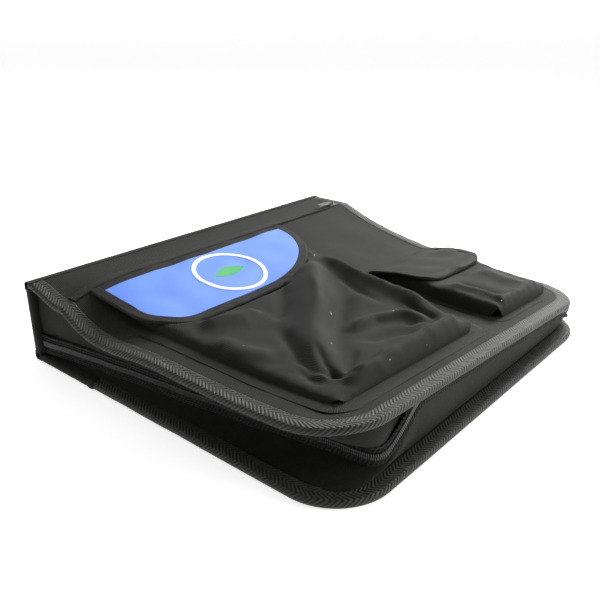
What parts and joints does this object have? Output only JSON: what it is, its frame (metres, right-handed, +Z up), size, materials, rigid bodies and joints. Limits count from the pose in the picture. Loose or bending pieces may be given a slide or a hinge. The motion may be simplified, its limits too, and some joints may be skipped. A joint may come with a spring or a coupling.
{
  "type": "portfolio case",
  "caption": "Soft zip-around portfolio case, folded like a book on a rigid spine, with flap pockets and a zip pocket on its front cover.",
  "frame": {"origin": "middle of the back cover's outer face, on the surface that the case lies on", "axes": "+X along the spine, +Y towards the spine, +Z up out of the closed case"},
  "size_m": [0.357, 0.348, 0.0747],
  "materials": {
    "black_cloth": "woven nylon",
    "lining": "plain lining",
    "binding_tape": "herringbone tape",
    "flap_tape": "plain tape",
    "webbing": "webbing",
    "hook_loop": "hook and loop",
    "board": "stiff board",
    "blue_panel": "smooth coated cloth",
    "emblem_white": "screen print",
    "emblem_green": "screen print",
    "zip_coil": "nylon coil",
    "zip_tape": "zip tape",
    "zip_metal": "nickel plate"
  },
  "bodies": {
    "back_cover": {"back_board": "board", "back_skin": "black_cloth", "back_lining": "lining", "back_binding": "binding_tape", "inner_slip_pocket": "lining", "inner_pocket_binding": "binding_tape", "lower_gusset": "black_cloth", "lower_zip_tape": "zip_tape", "lower_zip_coil": "zip_coil"},
    "spine": {"spine_board": "board", "spine_skin": "black_cloth", "spine_lining": "lining", "lower_fold": "black_cloth", "upper_fold": "black_cloth", "handle_webbing": "webbing", "handle_patches": "black_cloth"},
    "front_cover": {"front_board": "board", "front_skin": "black_cloth", "front_lining": "lining", "front_binding": "binding_tape", "front_yoke": "black_cloth", "zip_pocket_panel": "black_cloth", "pocket_zip_tapes": "zip_tape", "pocket_zip_coils": "zip_coil", "pocket_zip_stops": "zip_metal", "upper_gusset": "black_cloth", "upper_zip_tape": "zip_tape", "upper_zip_coil": "zip_coil", "large_pocket": "black_cloth", "large_pocket_flange": "black_cloth", "large_pocket_hem": "black_cloth", "large_pocket_loop_patches": "hook_loop", "small_pocket": "black_cloth", "small_pocket_flange": "black_cloth", "small_pocket_hem": "black_cloth", "small_pocket_loop_patch": "hook_loop"},
    "label_flap": {"label_flap_panel": "blue_panel", "label_flap_lining": "black_cloth", "label_flap_binding": "flap_tape", "label_flap_hook_patches": "hook_loop", "emblem_ring": "emblem_white", "emblem_leaf": "emblem_green"},
    "small_flap": {"small_flap_panel": "black_cloth", "small_flap_lining": "black_cloth", "small_flap_binding": "flap_tape", "small_flap_hook_patches": "hook_loop"},
    "pocket_slider": {"pocket_zip_slider": "zip_metal"},
    "pocket_pull": {"pocket_zip_pull": "zip_metal"},
    "main_slider": {"main_zip_slider": "zip_metal"},
    "main_pull": {"main_zip_pull": "zip_metal"}
  },
  "joints": [
    {"name": "spine_fold", "type": "hinge", "parent": "back_cover", "child": "spine", "pos_m": [0, 0.1578, 0.0027], "axis": [-1, 0, 0], "range_deg": [0, 90]},
    {"name": "front_cover_open", "type": "hinge", "parent": "spine", "child": "front_cover", "pos_m": [0, 0.1578, 0.0648], "axis": [-1, 0, 0], "range_deg": [0, 150]},
    {"name": "label_flap_lift", "type": "hinge", "parent": "front_cover", "child": "label_flap", "pos_m": [-0.0435, 0.1105, 0.0696], "axis": [-1, 0, 0], "range_deg": [0, 110]},
    {"name": "small_flap_lift", "type": "hinge", "parent": "front_cover", "child": "small_flap", "pos_m": [0.1175, 0.0025, 0.04312], "axis": [-0.9997, 0, 0.0237], "range_deg": [0, 150]},
    {"name": "pocket_zip_slide", "type": "slide", "parent": "front_cover", "child": "pocket_slider", "axis": [-1, 0, 0], "range_m": [0, 0.311]},
    {"name": "pocket_pull_swing", "type": "hinge", "parent": "pocket_slider", "child": "pocket_pull", "pos_m": [0.1555, 0.1155, 0.0724], "axis": [0, 1, 0], "range_deg": [0, 170]},
    {"name": "main_zip_slide", "type": "slide", "parent": "back_cover", "child": "main_slider", "axis": [0, -0.9999, 0.0125], "range_m": [0, 0.253]},
    {"name": "main_pull_swing", "type": "hinge", "parent": "main_slider", "child": "main_pull", "pos_m": [0.1702, 0.1305, 0.01537], "axis": [0, 0.0125, 0.9999], "range_deg": [0, 120]}
  ]
}
